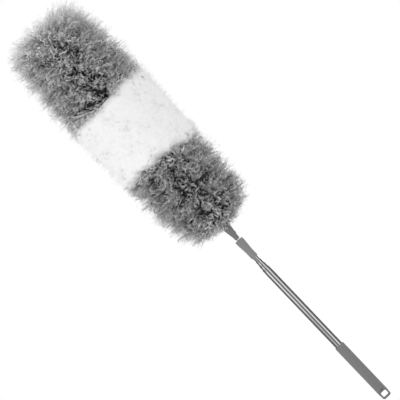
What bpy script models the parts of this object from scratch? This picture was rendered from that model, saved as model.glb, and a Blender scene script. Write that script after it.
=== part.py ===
"""Telescopic duster: a hand grip with a hanging window, four nested steel tubes, a collar and a neck, and a
head of two twisted wires with three bands of fluff.

Metres, +Z up along the pole, head at the top. The origin is the middle of the hand grip. The window at the
grip's end runs along Y.
"""

import math
import random
from collections import namedtuple

import bmesh
import bpy
from mathutils import Matrix, Vector

# Fits
FIT_GAP = 0.0003
RUNNING_GAP = 0.00012
CUT_OVERRUN = 0.002

# Hand grip
GRIP_LENGTH = 0.106
GRIP_RADIUS = 0.008
GRIP_EDGE = 0.0008
LOOP_BAR = 0.003
LOOP_THICKNESS = 0.0076
LOOP_END_RADIUS = 0.0074
LOOP_CORNER = 0.003
LOOP_RAMP = 0.006
WINDOW_LENGTH = 0.008
WINDOW_WIDTH = 0.0094
WINDOW_CORNER = 0.0012
GRIP_WEB = 0.003
CORNER_STEPS = 4

# Pole
OUTER_TUBE_RADIUS = 0.0062
TUBE_WALL = 0.0004
NESTING_GAP = 0.00036
OUTER_TUBE_SHOWN = 0.16
MOUTH_STEP = 0.008
INNER_TUBE_SHOWN = 0.007
LIP_LENGTH = 0.003
LIP_TAPER = 0.0078
PLUG_FLANGE = 0.002
PLUG_STEM = 0.008
SECTIONS = 4

# Bushes and friction springs
BUSH_SKIRT = 0.012
BUSH_STEM = 0.008
BUSH_SPACE = 0.0005
SPRING_WIRE_RADIUS = 0.00032
SPRING_GAP = 0.00015
SPRING_OPENING = math.radians(40)
SPRING_POINTS = 16

# Collar
COLLAR_LENGTH = 0.0355
COLLAR_RADIUS = 0.0054
COLLAR_TOP_RADIUS = 0.0066
COLLAR_STRAIGHT = 0.0135
COLLAR_RIM = 0.0068
COLLAR_EDGE = 0.0006
COLLAR_ROOF = 0.007

# Stud, washer and inserts
STUD_RADIUS = 0.002
INSERT_FLANGE = 0.002
INSERT_STEM = 0.012
STUD_IN_NECK = 0.017
WASHER_RADIUS = 0.00345
WASHER_THICKNESS = 0.0014
NECK_INSERT_LENGTH = 0.008
NECK_INSERT_RADIUS = 0.0029
NECK_INSERT_START = 0.0105

# Neck
NECK_LENGTH = 0.0315
NECK_FOOT_RADIUS = 0.00345
NECK_WAIST_RADIUS = 0.0039
NECK_TOP_RADIUS = 0.0064
NECK_WAIST_SHARE = 0.24
NECK_SHOULDER_SHARE = 0.62
NECK_EDGE = 0.001
NECK_SOCKET = 0.0105
NECK_IN_FLUFF = 0.007
NECK_RIB_LENGTH = 0.005
NECK_RIB_WIDTH = 0.003
NECK_RIB_HEIGHT = 0.0006
NECK_RIB_ROOT = 0.0004

# Wire core
WIRE_RADIUS = 0.0012
WIRE_PITCH = 0.048
WIRE_POINTS_A_TURN = 8
BEND_SPACE = 0.003
CAP_RADIUS = 0.0046
CAP_LENGTH = 0.01
CAP_DEPTH = 0.006
CAP_DOME = 0.002

# Fluff
BASE_BAND = 0.144
MIDDLE_BAND = 0.114
TIP_BAND = 0.163
HEAD_RADIUS = 0.073
TIP_SWELL = 0.0035
BASE_MOUTH_RADIUS = 0.018
TIP_MOUTH_RADIUS = 0.013
BASE_ROUNDING = 0.034
TIP_ROUNDING = 0.037
BACKING_RADIUS = 0.008
TIP_COVER = 0.0125
TUFTS_AROUND = 19
BASE_ROWS = 8
MIDDLE_ROWS = 5
TIP_ROWS = 9
ROUNDING_STEPS = 12
ROOT_INSET_SHARE = 0.17
TUFT_WIDTH_SHARE = 0.88
TUFT_SHOULDER_SHARE = 0.7
TUFT_LEAN_SHARE = 0.28
TUFT_SHORTEST_SHARE = 0.9
SPIRAL_SHARE = 0.38
FLUFF_SEED = 7

# Turned pieces
ROUND_STEPS = 32
SMALL_STEPS = 20
MERGE_DISTANCE = 1e-6
SMOOTH_ANGLE = math.radians(35)
TUFT_SMOOTH_ANGLE = math.radians(20)

# Places along the pole, from the grip's end to the tip
GRIP_BOTTOM = -GRIP_LENGTH / 2
GRIP_TOP = GRIP_LENGTH / 2
WINDOW_BOTTOM = GRIP_BOTTOM + LOOP_BAR
WINDOW_TOP = WINDOW_BOTTOM + WINDOW_LENGTH
BORE_FLOOR = WINDOW_TOP + GRIP_WEB
PLUG_BOTTOM = BORE_FLOOR + FIT_GAP
OUTER_TUBE_BOTTOM = PLUG_BOTTOM + PLUG_FLANGE + FIT_GAP
PLUG_TOP = OUTER_TUBE_BOTTOM + PLUG_STEM
OUTER_TUBE_TOP = GRIP_TOP + OUTER_TUBE_SHOWN
LAST_MOUTH = OUTER_TUBE_TOP + (SECTIONS - 2) * MOUTH_STEP
COLLAR_BOTTOM = LAST_MOUTH + INNER_TUBE_SHOWN
COLLAR_TOP = COLLAR_BOTTOM + COLLAR_LENGTH
INSERT_TOP = COLLAR_TOP - COLLAR_ROOF - FIT_GAP
INNER_TUBE_TOP = INSERT_TOP - INSERT_FLANGE - FIT_GAP
WASHER_BOTTOM = COLLAR_TOP + FIT_GAP
NECK_BOTTOM = WASHER_BOTTOM + WASHER_THICKNESS + FIT_GAP
NECK_TOP = NECK_BOTTOM + NECK_LENGTH
NECK_WAIST = NECK_BOTTOM + NECK_WAIST_SHARE * NECK_LENGTH
NECK_SHOULDER = NECK_BOTTOM + NECK_SHOULDER_SHARE * NECK_LENGTH
NECK_SOCKET_FLOOR = NECK_TOP - NECK_SOCKET
STUD_TOP = NECK_BOTTOM + STUD_IN_NECK
STUD_BOTTOM = INNER_TUBE_TOP - INSERT_STEM + FIT_GAP
HEAD_BOTTOM = NECK_TOP - NECK_IN_FLUFF
LOWER_BEND = HEAD_BOTTOM + BASE_BAND
UPPER_BEND = LOWER_BEND + MIDDLE_BAND
HEAD_TOP = UPPER_BEND + TIP_BAND
CAP_TOP = HEAD_TOP - TIP_COVER
CAP_BOTTOM = CAP_TOP - CAP_LENGTH
CORE_TOP = CAP_BOTTOM + CAP_DEPTH - FIT_GAP

# Radii that follow from the fits
TUBE_RADII = [OUTER_TUBE_RADIUS - n * (TUBE_WALL + NESTING_GAP) for n in range(SECTIONS)]
STUD_HOLE_RADIUS = STUD_RADIUS + FIT_GAP
WIRE_OFFSET = WIRE_RADIUS + FIT_GAP / 2
CORE_RADIUS = WIRE_OFFSET + WIRE_RADIUS
CORE_HOLE_RADIUS = CORE_RADIUS + FIT_GAP

Finish = namedtuple("Finish", "colour roughness metallic")
Band = namedtuple("Band", "name low high radius rows finish mouth_low mouth_high rounding floor ceiling")

GREY_PLASTIC = Finish((0.21, 0.21, 0.215), 0.45, 0)
BLACK_PLASTIC = Finish((0.03, 0.03, 0.032), 0.5, 0)
STEEL = Finish((0.72, 0.73, 0.74), 0.16, 1)
SPRING_STEEL = Finish((0.5, 0.5, 0.5), 0.3, 1)
BRASS = Finish((0.72, 0.52, 0.22), 0.3, 1)
GREY_FIBRE = Finish((0.18, 0.18, 0.185), 0.95, 0)
WHITE_FIBRE = Finish((0.85, 0.85, 0.86), 0.95, 0)


def clear_scene():
    for obj in list(bpy.data.objects):
        bpy.data.objects.remove(obj, do_unlink=True)


def new_collection(name):
    collection = bpy.data.collections.new(name)
    bpy.context.scene.collection.children.link(collection)
    return collection


def material_for(name, finish):
    material = bpy.data.materials.new(name)
    material.use_nodes = True
    shader = material.node_tree.nodes["Principled BSDF"]
    shader.inputs["Base Color"].default_value = (*finish.colour, 1)
    shader.inputs["Roughness"].default_value = finish.roughness
    shader.inputs["Metallic"].default_value = finish.metallic
    material.diffuse_color = (*finish.colour, 1)
    return material


def add_part(name, data, finish):
    """A named object in the duster's collection, with a material of its own."""
    obj = bpy.data.objects.new(name, data)
    data.materials.append(material_for(name, finish))
    PARTS.objects.link(obj)
    return obj


def turned(name, profile, finish, steps=ROUND_STEPS):
    """A solid turned about Z. Its (radius, z) points run down the outer side; a ring's profile closes itself."""
    on_axis = profile[0][0] == 0
    count = len(profile)
    edges = [(n, (n + 1) % count) for n in range(count - 1 if on_axis else count)]
    mesh = bpy.data.meshes.new(name)
    mesh.from_pydata([(radius, 0, z) for radius, z in profile], edges, [])
    obj = add_part(name, mesh, finish)
    screw = obj.modifiers.new("Turn", "SCREW")
    screw.steps = screw.render_steps = steps
    screw.use_merge_vertices = True
    screw.merge_threshold = MERGE_DISTANCE
    screw.use_smooth_shade = True
    return obj


def wire(name, points, radius, finish, bevel_resolution=1):
    """A round wire through the points."""
    curve = bpy.data.curves.new(name, "CURVE")
    curve.dimensions = "3D"
    curve.bevel_depth = radius
    curve.bevel_resolution = bevel_resolution
    curve.use_fill_caps = True
    spline = curve.splines.new("POLY")
    spline.points.add(len(points) - 1)
    for point, place in zip(spline.points, points):
        point.co = (*place, 1)
    return add_part(name, curve, finish)


def quarter(centre, radii, start, steps=CORNER_STEPS):
    """Points of a quarter ellipse from the angle start, a quarter turn clockwise."""
    angles = [start - math.pi / 2 * n / steps for n in range(steps + 1)]
    return [(centre[0] + radii[0] * math.cos(a), centre[1] + radii[1] * math.sin(a)) for a in angles]


def cutter(name, outline, thickness, turn):
    """A flat outline with a thickness, turned into place and made a mesh, which a Boolean can take."""
    curve = bpy.data.curves.new(name, "CURVE")
    curve.dimensions = "2D"
    curve.fill_mode = "BOTH"
    curve.extrude = thickness / 2
    spline = curve.splines.new("POLY")
    spline.points.add(len(outline) - 1)
    for point, place in zip(spline.points, outline):
        point.co = (*place, 0, 1)
    spline.use_cyclic_u = True
    flat = bpy.data.objects.new(name, curve)
    CUTTERS.objects.link(flat)
    flat.matrix_world = turn
    bpy.context.view_layer.update()
    mesh = bpy.data.meshes.new_from_object(flat.evaluated_get(bpy.context.evaluated_depsgraph_get()))
    body = bmesh.new()
    body.from_mesh(mesh)
    bmesh.ops.remove_doubles(body, verts=body.verts, dist=MERGE_DISTANCE)
    bmesh.ops.recalc_face_normals(body, faces=body.faces)
    body.to_mesh(mesh)
    body.free()
    bpy.data.objects.remove(flat, do_unlink=True)
    obj = bpy.data.objects.new(name, mesh)
    obj.matrix_world = turn
    obj.hide_render = True
    obj.display_type = "WIRE"
    CUTTERS.objects.link(obj)
    return obj


def boolean(obj, other, operation="DIFFERENCE"):
    modifier = obj.modifiers.new(other.name, "BOOLEAN")
    modifier.operation = operation
    modifier.object = other


def make_grip():
    """The grip, bored for the outer tube, with its end flattened round the hanging window."""
    bore = OUTER_TUBE_RADIUS + FIT_GAP
    corner_centre = (LOOP_END_RADIUS - LOOP_CORNER, GRIP_BOTTOM + LOOP_CORNER)
    profile = [
        (0, BORE_FLOOR),
        (bore, BORE_FLOOR),
        (bore, GRIP_TOP),
        (GRIP_RADIUS - GRIP_EDGE, GRIP_TOP),
        (GRIP_RADIUS, GRIP_TOP - GRIP_EDGE),
        (GRIP_RADIUS, WINDOW_TOP),
        *quarter(corner_centre, (LOOP_CORNER, LOOP_CORNER), 0),
        (0, GRIP_BOTTOM),
    ]
    grip = turned("hand_grip", profile, GREY_PLASTIC)
    across = Matrix.Rotation(math.pi / 2, 4, "X")
    half, top, bottom = WINDOW_WIDTH / 2, WINDOW_TOP, WINDOW_BOTTOM
    radii = (WINDOW_CORNER, WINDOW_CORNER)
    window = [
        *quarter((half - WINDOW_CORNER, top - WINDOW_CORNER), radii, math.pi / 2),
        *quarter((half - WINDOW_CORNER, bottom + WINDOW_CORNER), radii, 0),
        *quarter((WINDOW_CORNER - half, bottom + WINDOW_CORNER), radii, -math.pi / 2),
        *quarter((WINDOW_CORNER - half, top - WINDOW_CORNER), radii, math.pi),
    ]
    boolean(grip, cutter("window_cutter", window, 2 * (GRIP_RADIUS + CUT_OVERRUN), across))
    side = Matrix.Rotation(math.pi / 2, 4, "Z") @ across
    inner, outer = LOOP_THICKNESS / 2, GRIP_RADIUS + CUT_OVERRUN
    for name, way in (("front_flat_cutter", -1), ("back_flat_cutter", 1)):
        flat = [
            (way * inner, GRIP_BOTTOM - CUT_OVERRUN),
            (way * inner, WINDOW_TOP),
            (way * outer, WINDOW_TOP + LOOP_RAMP),
            (way * outer, GRIP_BOTTOM - CUT_OVERRUN),
        ]
        boolean(grip, cutter(name, flat, 2 * (GRIP_RADIUS + CUT_OVERRUN), side))


def make_end_plug():
    stem = TUBE_RADII[0] - TUBE_WALL - FIT_GAP
    flange_top = PLUG_BOTTOM + PLUG_FLANGE
    profile = [
        (0, PLUG_TOP),
        (stem, PLUG_TOP),
        (stem, flange_top),
        (TUBE_RADII[0], flange_top),
        (TUBE_RADII[0], PLUG_BOTTOM),
        (0, PLUG_BOTTOM),
    ]
    turned("tube_end_plug", profile, BLACK_PLASTIC, SMALL_STEPS)


def bush_bottom(section):
    """The foot of a section's bush, which stands just above whatever is below it in the pushed-in pole."""
    return PLUG_TOP + BUSH_SPACE + (section - 1) * (BUSH_SKIRT + BUSH_STEM + BUSH_SPACE)


def tube_ends(section):
    """The z of a tube's lower and upper ends. Section 0 is the outer tube."""
    low = bush_bottom(section) + BUSH_SKIRT + FIT_GAP if section else OUTER_TUBE_BOTTOM
    last = section == SECTIONS - 1
    return low, INNER_TUBE_TOP if last else OUTER_TUBE_TOP + section * MOUTH_STEP


def make_tube(section):
    """A steel tube. All but the innermost are rolled in at the mouth, so that the next bush can't leave."""
    radius, (low, high) = TUBE_RADII[section], tube_ends(section)
    bore = radius - TUBE_WALL
    name = f"tube_{section + 1}" if section else "outer_tube"
    if section == SECTIONS - 1:
        turned(name, [(bore, high), (radius, high), (radius, low), (bore, low)], STEEL)
        return
    lip = TUBE_RADII[section + 1] + RUNNING_GAP
    profile = [
        (lip, high),
        (lip + TUBE_WALL, high),
        (radius, high - LIP_TAPER),
        (radius, low),
        (bore, low),
        (bore, high - LIP_TAPER),
        (lip, high - LIP_LENGTH),
    ]
    turned(name, profile, STEEL)


def make_bush(section):
    """A plug in the tube's lower end, whose wider skirt runs in the next tube and holds a sprung wire ring."""
    skirt = TUBE_RADII[section - 1] - TUBE_WALL - RUNNING_GAP
    stem = TUBE_RADII[section] - TUBE_WALL - FIT_GAP
    low = bush_bottom(section)
    shoulder = low + BUSH_SKIRT
    middle = (low + shoulder) / 2
    ring_radius = skirt - SPRING_WIRE_RADIUS
    groove = ring_radius - SPRING_WIRE_RADIUS - SPRING_GAP
    half_groove = SPRING_WIRE_RADIUS + SPRING_GAP
    profile = [
        (0, shoulder + BUSH_STEM),
        (stem, shoulder + BUSH_STEM),
        (stem, shoulder),
        (skirt, shoulder),
        (skirt, middle + half_groove),
        (groove, middle + half_groove),
        (groove, middle - half_groove),
        (skirt, middle - half_groove),
        (skirt, low),
        (0, low),
    ]
    turned(f"bush_{section + 1}", profile, BLACK_PLASTIC, SMALL_STEPS)
    sweep = 2 * math.pi - SPRING_OPENING
    angles = [SPRING_OPENING / 2 + sweep * n / (SPRING_POINTS - 1) for n in range(SPRING_POINTS)]
    ring = [(ring_radius * math.cos(a), ring_radius * math.sin(a), middle) for a in angles]
    wire(f"friction_spring_{section + 1}", ring, SPRING_WIRE_RADIUS, SPRING_STEEL)


def make_collar():
    """The moulded socket that covers the top of the innermost tube, flared to its flat top."""
    bore = TUBE_RADII[-1] + FIT_GAP
    roof = COLLAR_TOP - COLLAR_ROOF
    profile = [
        (STUD_HOLE_RADIUS, COLLAR_TOP),
        (COLLAR_TOP_RADIUS - COLLAR_EDGE / 2, COLLAR_TOP),
        (COLLAR_TOP_RADIUS, COLLAR_TOP - COLLAR_EDGE / 2),
        (COLLAR_TOP_RADIUS, COLLAR_TOP - COLLAR_RIM),
        (COLLAR_RADIUS, COLLAR_BOTTOM + COLLAR_STRAIGHT),
        (COLLAR_RADIUS, COLLAR_BOTTOM + COLLAR_EDGE),
        (COLLAR_RADIUS - COLLAR_EDGE, COLLAR_BOTTOM),
        (bore, COLLAR_BOTTOM),
        (bore, roof),
        (STUD_HOLE_RADIUS, roof),
    ]
    turned("collar", profile, GREY_PLASTIC)


def make_connector():
    """What joins pole and head: the insert in the innermost tube, the stud, the washer and the neck's insert."""
    tube, bore = TUBE_RADII[-1], TUBE_RADII[-1] - TUBE_WALL - FIT_GAP
    flange = INSERT_TOP - INSERT_FLANGE
    insert = [
        (STUD_HOLE_RADIUS, INSERT_TOP),
        (tube, INSERT_TOP),
        (tube, flange),
        (bore, flange),
        (bore, flange - INSERT_STEM),
        (STUD_HOLE_RADIUS, flange - INSERT_STEM),
    ]
    turned("tube_insert", insert, BRASS, SMALL_STEPS)
    stud = [(0, STUD_TOP), (STUD_RADIUS, STUD_TOP), (STUD_RADIUS, STUD_BOTTOM), (0, STUD_BOTTOM)]
    turned("stud", stud, SPRING_STEEL, SMALL_STEPS)
    washer_top = WASHER_BOTTOM + WASHER_THICKNESS
    washer = [
        (STUD_HOLE_RADIUS, washer_top),
        (WASHER_RADIUS, washer_top),
        (WASHER_RADIUS, WASHER_BOTTOM),
        (STUD_HOLE_RADIUS, WASHER_BOTTOM),
    ]
    turned("washer", washer, STEEL, SMALL_STEPS)
    low = NECK_BOTTOM + NECK_INSERT_START
    high = low + NECK_INSERT_LENGTH
    neck_insert = [
        (STUD_HOLE_RADIUS, high),
        (NECK_INSERT_RADIUS, high),
        (NECK_INSERT_RADIUS, low),
        (STUD_HOLE_RADIUS, low),
    ]
    turned("neck_insert", neck_insert, BRASS, SMALL_STEPS)


def make_neck():
    """The head's stem: bored for the stud and moulded round its insert, with a socket for the wires on top
    and a small rib on its side."""
    seat = NECK_INSERT_RADIUS + FIT_GAP
    seat_low = NECK_BOTTOM + NECK_INSERT_START - FIT_GAP
    seat_high = NECK_BOTTOM + NECK_INSERT_START + NECK_INSERT_LENGTH + FIT_GAP
    profile = [
        (0, NECK_SOCKET_FLOOR),
        (CORE_HOLE_RADIUS, NECK_SOCKET_FLOOR),
        (CORE_HOLE_RADIUS, NECK_TOP),
        (NECK_TOP_RADIUS - NECK_EDGE, NECK_TOP),
        (NECK_TOP_RADIUS, NECK_TOP - NECK_EDGE),
        (NECK_TOP_RADIUS, NECK_SHOULDER),
        (NECK_WAIST_RADIUS, NECK_WAIST),
        (NECK_FOOT_RADIUS, NECK_BOTTOM),
        (STUD_HOLE_RADIUS, NECK_BOTTOM),
        (STUD_HOLE_RADIUS, seat_low),
        (seat, seat_low),
        (seat, seat_high),
        (0, seat_high),
    ]
    neck = turned("neck", profile, GREY_PLASTIC)
    slope = (NECK_TOP_RADIUS - NECK_WAIST_RADIUS) / (NECK_SHOULDER - NECK_WAIST)
    low, high = NECK_WAIST, NECK_WAIST + NECK_RIB_LENGTH
    low_face, high_face = NECK_WAIST_RADIUS, NECK_WAIST_RADIUS + slope * NECK_RIB_LENGTH
    rib = [
        (low_face - NECK_RIB_ROOT, low),
        (high_face - NECK_RIB_ROOT, high),
        (high_face, high),
        (high_face + NECK_RIB_HEIGHT, high - NECK_RIB_HEIGHT),
        (low_face + NECK_RIB_HEIGHT, low + NECK_RIB_HEIGHT),
        (low_face, low),
    ]
    boolean(neck, cutter("neck_rib", rib, NECK_RIB_WIDTH, Matrix.Rotation(math.pi / 2, 4, "X")), "UNION")


def twisted_wires(segment, low, high):
    """The two wires of one stretch of the core, half a turn apart on one helix."""
    count = max(2, round((high - low) / WIRE_PITCH * WIRE_POINTS_A_TURN)) + 1
    for letter, start in (("a", 0), ("b", math.pi)):
        points = []
        for n in range(count):
            z = low + (high - low) * n / (count - 1)
            angle = start + 2 * math.pi * (z - NECK_TOP) / WIRE_PITCH
            points.append((WIRE_OFFSET * math.cos(angle), WIRE_OFFSET * math.sin(angle), z))
        wire(f"core_wire_{segment}_{letter}", points, WIRE_RADIUS, SPRING_STEEL)


def make_core():
    """The wire core in three stretches, which part where the head bends, and the cap over its end."""
    bottom = NECK_SOCKET_FLOOR + FIT_GAP
    twisted_wires("base", bottom, LOWER_BEND - BEND_SPACE / 2)
    twisted_wires("middle", LOWER_BEND + BEND_SPACE / 2, UPPER_BEND - BEND_SPACE / 2)
    twisted_wires("tip", UPPER_BEND + BEND_SPACE / 2, CORE_TOP)
    cap = [
        (0, CAP_BOTTOM + CAP_DEPTH),
        (CORE_HOLE_RADIUS, CAP_BOTTOM + CAP_DEPTH),
        (CORE_HOLE_RADIUS, CAP_BOTTOM),
        (CAP_RADIUS, CAP_BOTTOM),
    ]
    dome = quarter((CAP_RADIUS - CAP_DOME, CAP_TOP - CAP_DOME), (CAP_DOME, CAP_DOME), math.pi / 2)
    turned("tip_cap", [(0, CAP_TOP), *dome, *reversed(cap)], BLACK_PLASTIC, SMALL_STEPS)


def outline_of(band):
    """(radius, z) points up the band's outside, with a rounded end where it has a mouth."""
    low = [(band.radius, band.low)]
    high = [(band.radius, band.high)]
    if band.mouth_low:
        centre = (band.mouth_low, band.low + band.rounding)
        radii = (band.radius - band.mouth_low, band.rounding)
        low = quarter(centre, radii, 0, ROUNDING_STEPS)[::-1]
    if band.mouth_high:
        centre = (band.mouth_high, band.high - band.rounding)
        radii = (band.radius - band.mouth_high, band.rounding)
        high = quarter(centre, radii, math.pi / 2, ROUNDING_STEPS)[::-1]
    return [Vector(point) for point in low + high]


def along(points, share):
    """The point at a share of the length of a line through the points."""
    lengths = [(b - a).length for a, b in zip(points, points[1:])]
    left = share * sum(lengths)
    for a, b, length in zip(points, points[1:], lengths):
        if left <= length:
            break
        left -= length
    return a.lerp(b, min(1, left / length))


def tufts(band):
    """Tufts on the cells of a flat grid: x counts cells round the core, y rows up it, z is 0 at the root and 1
    at the outline. Each widens from its root to its shoulder and ends in a point."""
    grid = bmesh.new()
    lift = Matrix.Translation((TUFTS_AROUND / 2, band.rows / 2, 0))
    size = Matrix.Diagonal((TUFTS_AROUND, band.rows, 1, 1))
    bmesh.ops.create_grid(
        grid, x_segments=TUFTS_AROUND, y_segments=band.rows, size=0.5, matrix=lift @ size
    )
    roots = grid.faces[:]
    bmesh.ops.inset_individual(grid, faces=roots, thickness=ROOT_INSET_SHARE, use_even_offset=True)
    shoulders = bmesh.ops.extrude_discrete_faces(grid, faces=roots)["faces"]
    for face in shoulders:
        centre = face.calc_center_median()
        spread = TUFT_WIDTH_SHARE / (1 - 2 * ROOT_INSET_SHARE)
        for vert in face.verts:
            vert.co = centre + (vert.co - centre) * spread
            vert.co.z = TUFT_SHOULDER_SHARE
    chance = random.Random(FLUFF_SEED)
    for tip in bmesh.ops.poke(grid, faces=shoulders)["verts"]:
        tip.co.x += chance.uniform(-TUFT_LEAN_SHARE, TUFT_LEAN_SHARE)
        tip.co.y += chance.uniform(-TUFT_LEAN_SHARE, TUFT_LEAN_SHARE)
        tip.co.z = chance.uniform(TUFT_SHORTEST_SHARE, 1)
    return grid


def wrap_round_core(grid, band):
    """Bends the flat grid of tufts round the core and out to the band's outline."""
    outline = outline_of(band)
    for vert in grid.verts:
        cell, row, depth = vert.co
        share = row / band.rows
        root = Vector((BACKING_RADIUS, band.floor + (band.ceiling - band.floor) * share))
        radius, z = root.lerp(along(outline, share), depth)
        angle = 2 * math.pi * (cell + SPIRAL_SHARE * row) / TUFTS_AROUND
        vert.co = (radius * math.cos(angle), radius * math.sin(angle), z)
    bmesh.ops.remove_doubles(grid, verts=grid.verts, dist=MERGE_DISTANCE)


def step_in(grid, edges, radius, z):
    """Extrudes a ring of edges to a radius and a height, and returns the new ring."""
    made = bmesh.ops.extrude_edge_only(grid, edges=edges)["geom"]
    for vert in (item for item in made if isinstance(item, bmesh.types.BMVert)):
        place = vert.co.xy.normalized() * radius
        vert.co = (*place, z)
    return [item for item in made if isinstance(item, bmesh.types.BMEdge) and item.is_boundary]


def make_fluff(band):
    """One band: its tufts on a slice of backing, which is bored for the wires and, at the tip, for the cap."""
    grid = tufts(band)
    wrap_round_core(grid, band)
    middle = (band.floor + band.ceiling) / 2
    ends = [edge for edge in grid.edges if edge.is_boundary]
    lower = [edge for edge in ends if edge.verts[0].co.z < middle]
    upper = [edge for edge in ends if edge.verts[0].co.z > middle]
    lower = step_in(grid, lower, CORE_HOLE_RADIUS, band.floor)
    if band.mouth_high:
        recess = CAP_BOTTOM - FIT_GAP
        upper = step_in(grid, upper, CAP_RADIUS + FIT_GAP, band.ceiling)
        upper = step_in(grid, upper, CAP_RADIUS + FIT_GAP, recess)
        upper = step_in(grid, upper, CORE_HOLE_RADIUS, recess)
    else:
        upper = step_in(grid, upper, CORE_HOLE_RADIUS, band.ceiling)
    bmesh.ops.bridge_loops(grid, edges=lower + upper)
    bmesh.ops.recalc_face_normals(grid, faces=grid.faces)
    mesh = bpy.data.meshes.new(band.name)
    grid.to_mesh(mesh)
    grid.free()
    add_part(band.name, mesh, band.finish)


def make_head():
    half = FIT_GAP / 2
    bands = [
        Band("base_fluff", HEAD_BOTTOM, LOWER_BEND - half, HEAD_RADIUS, BASE_ROWS, GREY_FIBRE,
             BASE_MOUTH_RADIUS, 0, BASE_ROUNDING, NECK_TOP + FIT_GAP, LOWER_BEND - half),
        Band("middle_fluff", LOWER_BEND + half, UPPER_BEND - half, HEAD_RADIUS, MIDDLE_ROWS, WHITE_FIBRE,
             0, 0, 0, LOWER_BEND + half, UPPER_BEND - half),
        Band("tip_fluff", UPPER_BEND + half, HEAD_TOP, HEAD_RADIUS + TIP_SWELL, TIP_ROWS, GREY_FIBRE,
             0, TIP_MOUTH_RADIUS, TIP_ROUNDING, UPPER_BEND + half, CAP_TOP),
    ]
    for band in bands:
        make_fluff(band)


def finish_surfaces():
    """Makes each part a plain mesh, shaded smooth but for its sharp edges."""
    bpy.context.view_layer.update()
    depsgraph = bpy.context.evaluated_depsgraph_get()
    for obj in list(PARTS.objects):
        mesh = bpy.data.meshes.new_from_object(obj.evaluated_get(depsgraph))
        mesh.name = obj.name
        body = bmesh.new()
        body.from_mesh(mesh)
        bmesh.ops.remove_doubles(body, verts=body.verts, dist=MERGE_DISTANCE)
        body.to_mesh(mesh)
        body.free()
        mesh.shade_smooth()
        soft = obj.name.endswith("fluff")
        mesh.set_sharp_from_angle(angle=TUFT_SMOOTH_ANGLE if soft else SMOOTH_ANGLE)
        name = obj.name
        bpy.data.objects.remove(obj, do_unlink=True)
        PARTS.objects.link(bpy.data.objects.new(name, mesh))


def main():
    make_grip()
    make_end_plug()
    for section in range(SECTIONS):
        make_tube(section)
        if section:
            make_bush(section)
    make_collar()
    make_connector()
    make_neck()
    make_core()
    make_head()
    finish_surfaces()


clear_scene()
PARTS = new_collection("telescopic_duster")
CUTTERS = new_collection("cutters")
main()
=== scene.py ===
"""Dresses the telescopic duster for a studio picture.

The grip, tubes, collar, washer and neck get finely turned shapes with moulded and drawn finishes, and the tubes'
steel carries painted reflections. The three bands of the head get tens of thousands of curled fibres, gathered in
puffs over a dense underlay. Metres, +Z up the pole.
"""

import logging
import math
from abc import ABC, abstractmethod
from dataclasses import dataclass
from enum import Enum

import bpy
import numpy as np
from mathutils import Matrix, Vector


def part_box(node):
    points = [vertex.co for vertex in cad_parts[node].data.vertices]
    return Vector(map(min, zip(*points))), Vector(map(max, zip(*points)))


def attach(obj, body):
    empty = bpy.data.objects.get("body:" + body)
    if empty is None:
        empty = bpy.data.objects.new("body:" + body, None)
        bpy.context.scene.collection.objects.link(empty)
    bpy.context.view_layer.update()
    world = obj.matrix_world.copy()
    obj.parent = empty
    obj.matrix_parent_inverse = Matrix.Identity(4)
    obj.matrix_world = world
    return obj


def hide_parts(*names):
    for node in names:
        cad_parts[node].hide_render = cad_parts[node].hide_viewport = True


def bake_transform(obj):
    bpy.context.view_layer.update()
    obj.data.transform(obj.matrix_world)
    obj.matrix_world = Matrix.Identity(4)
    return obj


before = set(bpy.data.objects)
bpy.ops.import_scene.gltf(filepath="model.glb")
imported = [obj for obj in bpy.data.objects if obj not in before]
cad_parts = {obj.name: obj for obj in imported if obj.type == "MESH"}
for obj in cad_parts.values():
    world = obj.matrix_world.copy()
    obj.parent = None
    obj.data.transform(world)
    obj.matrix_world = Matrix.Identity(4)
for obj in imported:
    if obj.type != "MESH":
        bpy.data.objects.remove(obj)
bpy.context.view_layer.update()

LOG = logging.getLogger("telescopic_duster")
UP = np.array([0.0, 0.0, 1.0])
UV_MAP = "OFBake"
Array = np.ndarray
Piece = bpy.types.Object
Colour = tuple[float, float, float]
Place = tuple[float, float, float]
Span = tuple[float, float]
Profile = list[Span]


class Slot(Enum):
    """The record's material slots."""

    GREY_PLASTIC = "grey_plastic"
    BLACK_PLASTIC = "black_plastic"
    TUBE_STEEL = "tube_steel"
    WIRE_STEEL = "wire_steel"
    BRASS = "brass"
    GREY_FIBRE = "grey_fibre"
    WHITE_FIBRE = "white_fibre"


class ReflectionTone(Enum):
    """The tones of the painted reflections on the steel tubes."""

    DARK = (0.112, 0.112, 0.114)
    MIDDLE = (0.2, 0.2, 0.205)
    BRIGHT = (0.475, 0.475, 0.48)


class Join(Enum):
    """What becomes of a piece with another one in it."""

    CUT = "DIFFERENCE"
    FUSE = "UNION"


def grey(level: float) -> Colour:
    """A neutral grey."""
    return (level, level, level)


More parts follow.
